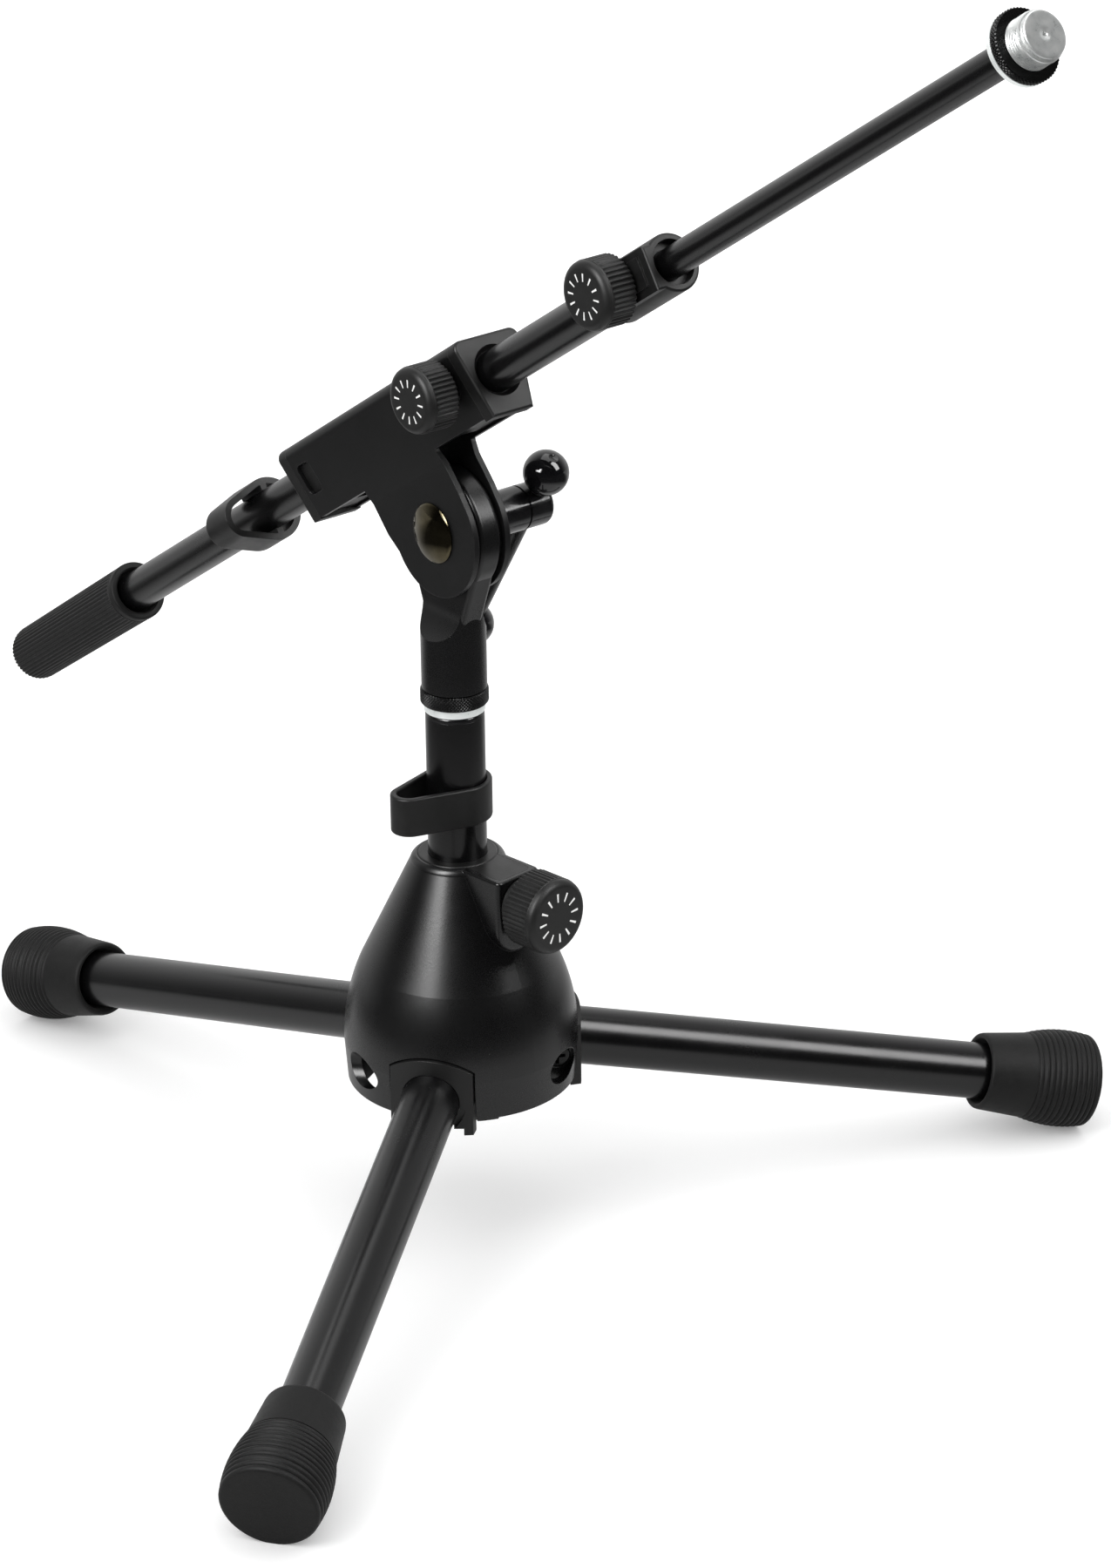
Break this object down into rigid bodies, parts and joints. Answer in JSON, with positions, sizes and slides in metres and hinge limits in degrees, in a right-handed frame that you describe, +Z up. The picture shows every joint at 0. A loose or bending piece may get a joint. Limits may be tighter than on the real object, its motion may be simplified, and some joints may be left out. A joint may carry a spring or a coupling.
{
  "type": "boom microphone stand",
  "caption": "Low boom microphone stand: folding legs on a cast base, clamped rod, swivel neck, tilting bracket with T-bar clamp, and a telescoping boom ending in a threaded stud.",
  "frame": {"origin": "on the floor under the rod axis", "axes": "+Z up along the rod, +X towards the boom's microphone end, +Y along the tilt bolt towards the T-bar"},
  "size_m": [0.5363, 0.4108, 0.4844],
  "materials": {
    "cast_black": "satin gloss black over zinc casting",
    "tube_black": "semi-gloss black powder coat",
    "sheet_black": "satin dark powder coat",
    "plastic_black": "fine matte black",
    "ball_plastic": "polished black",
    "rubber_black": "matte",
    "ring_black": "black oxide",
    "zinc_steel": "bright zinc",
    "nickel": "polished nickel",
    "brass": "turned"
  },
  "bodies": {
    "base": {"base_housing": "cast_black", "rod_guide_bush": "plastic_black", "base_clamp_insert": "plastic_black", "base_clamp_nut": "brass", "leg_hinge_screws": "ring_black"},
    "base_clamp_knob": {"base_knob": "plastic_black", "base_knob_screw": "zinc_steel"},
    "front_leg": {"front_leg_tube": "tube_black", "front_leg_hinge": "plastic_black", "front_leg_foot": "rubber_black"},
    "right_leg": {"right_leg_tube": "tube_black", "right_leg_hinge": "plastic_black", "right_leg_foot": "rubber_black"},
    "left_leg": {"left_leg_tube": "tube_black", "left_leg_hinge": "plastic_black", "left_leg_foot": "rubber_black"},
    "rod": {"rod_tube": "tube_black", "rod_bottom_cap": "plastic_black", "rod_top_plug": "plastic_black", "rod_washer": "zinc_steel"},
    "rod_ring": {"rod_lock_ring": "ring_black"},
    "rod_clip": {"rod_cable_clip": "plastic_black"},
    "neck": {"swivel_neck": "cast_black", "friction_discs": "rubber_black"},
    "bracket": {"bracket_channel": "sheet_black", "bracket_rear_bush": "plastic_black", "bracket_front_block": "plastic_black", "bracket_clamp_nut": "ring_black", "pivot_bolt": "nickel"},
    "bracket_clamp_knob": {"bracket_knob": "plastic_black", "bracket_knob_screw": "zinc_steel"},
    "lever": {"lever_hub": "cast_black"},
    "t_bar": {"lever_bar": "zinc_steel", "lever_balls": "ball_plastic"},
    "boom": {"boom_outer_tube": "tube_black", "boom_grip": "rubber_black", "boom_sleeve": "plastic_black", "sleeve_nut": "brass"},
    "sleeve_clamp_knob": {"sleeve_knob": "plastic_black", "sleeve_knob_screw": "zinc_steel"},
    "boom_clip": {"boom_cable_clip": "plastic_black"},
    "boom_inner": {"boom_inner_tube": "tube_black", "inner_guide_plug": "plastic_black", "tip_stud": "zinc_steel", "tip_washer": "zinc_steel"},
    "tip_ring": {"tip_lock_ring": "ring_black"}
  },
  "joints": [
    {"name": "front_leg_fold", "type": "hinge", "parent": "base", "child": "front_leg", "pos_m": [0.01693, -0.02293, 0.064], "axis": [0.8045, 0.594, 0], "range_deg": [0, 76]},
    {"name": "right_leg_fold", "type": "hinge", "parent": "base", "child": "right_leg", "pos_m": [0.01139, 0.02612, 0.064], "axis": [-0.9166, 0.3997, 0], "range_deg": [0, 76]},
    {"name": "left_leg_fold", "type": "hinge", "parent": "base", "child": "left_leg", "pos_m": [-0.02832, -0.0032, 0.064], "axis": [0.1122, -0.9937, 0], "range_deg": [0, 76]},
    {"name": "base_knob_turn", "type": "hinge", "parent": "base", "child": "base_clamp_knob", "pos_m": [0.03369, 0.0038, 0.1264], "axis": [0.9937, 0.1122, 0], "continuous": true},
    {"name": "rod_slide", "type": "slide", "parent": "base", "child": "rod", "axis": [0, 0, 1], "range_m": [-0.012, 0.04]},
    {"name": "rod_ring_turn", "type": "hinge", "parent": "rod", "child": "rod_ring", "pos_m": [0, 0, 0.194], "axis": [0, 0, 1], "continuous": true},
    {"name": "rod_clip_turn", "type": "hinge", "parent": "rod", "child": "rod_clip", "pos_m": [0, 0, 0.1565], "axis": [0, 0, 1], "continuous": true},
    {"name": "neck_turn", "type": "hinge", "parent": "rod", "child": "neck", "pos_m": [0, 0, 0.204], "axis": [0, 0, 1], "continuous": true},
    {"name": "bracket_tilt", "type": "hinge", "parent": "neck", "child": "bracket", "pos_m": [0, 0, 0.253], "axis": [0, -1, 0], "range_deg": [-63, 14]},
    {"name": "lever_turn", "type": "hinge", "parent": "bracket", "child": "lever", "pos_m": [0, 0.02, 0.253], "axis": [0, 1, 0], "continuous": true},
    {"name": "t_bar_slide", "type": "slide", "parent": "lever", "child": "t_bar", "axis": [0.5299, 0, 0.848], "range_m": [0, 0.046]},
    {"name": "bracket_knob_turn", "type": "hinge", "parent": "bracket", "child": "bracket_clamp_knob", "pos_m": [0.01443, 0, 0.30717], "axis": [0, -1, 0], "continuous": true},
    {"name": "boom_slide", "type": "slide", "parent": "bracket", "child": "boom", "axis": [0.8329, 0, 0.5534], "range_m": [-0.04, 0.028]},
    {"name": "sleeve_knob_turn", "type": "hinge", "parent": "boom", "child": "sleeve_clamp_knob", "pos_m": [0.09856, 0, 0.36306], "axis": [0, -1, 0], "continuous": true},
    {"name": "boom_clip_slide", "type": "slide", "parent": "boom", "child": "boom_clip", "axis": [0.8329, 0, 0.5534], "range_m": [-0.075, 0]},
    {"name": "inner_slide", "type": "slide", "parent": "boom", "child": "boom_inner", "axis": [0.8329, 0, 0.5534], "range_m": [-0.165, 0.078]},
    {"name": "tip_ring_turn", "type": "hinge", "parent": "boom_inner", "child": "tip_ring", "pos_m": [0.26348, 0, 0.47263], "axis": [0.8329, 0, 0.5534], "continuous": true}
  ]
}
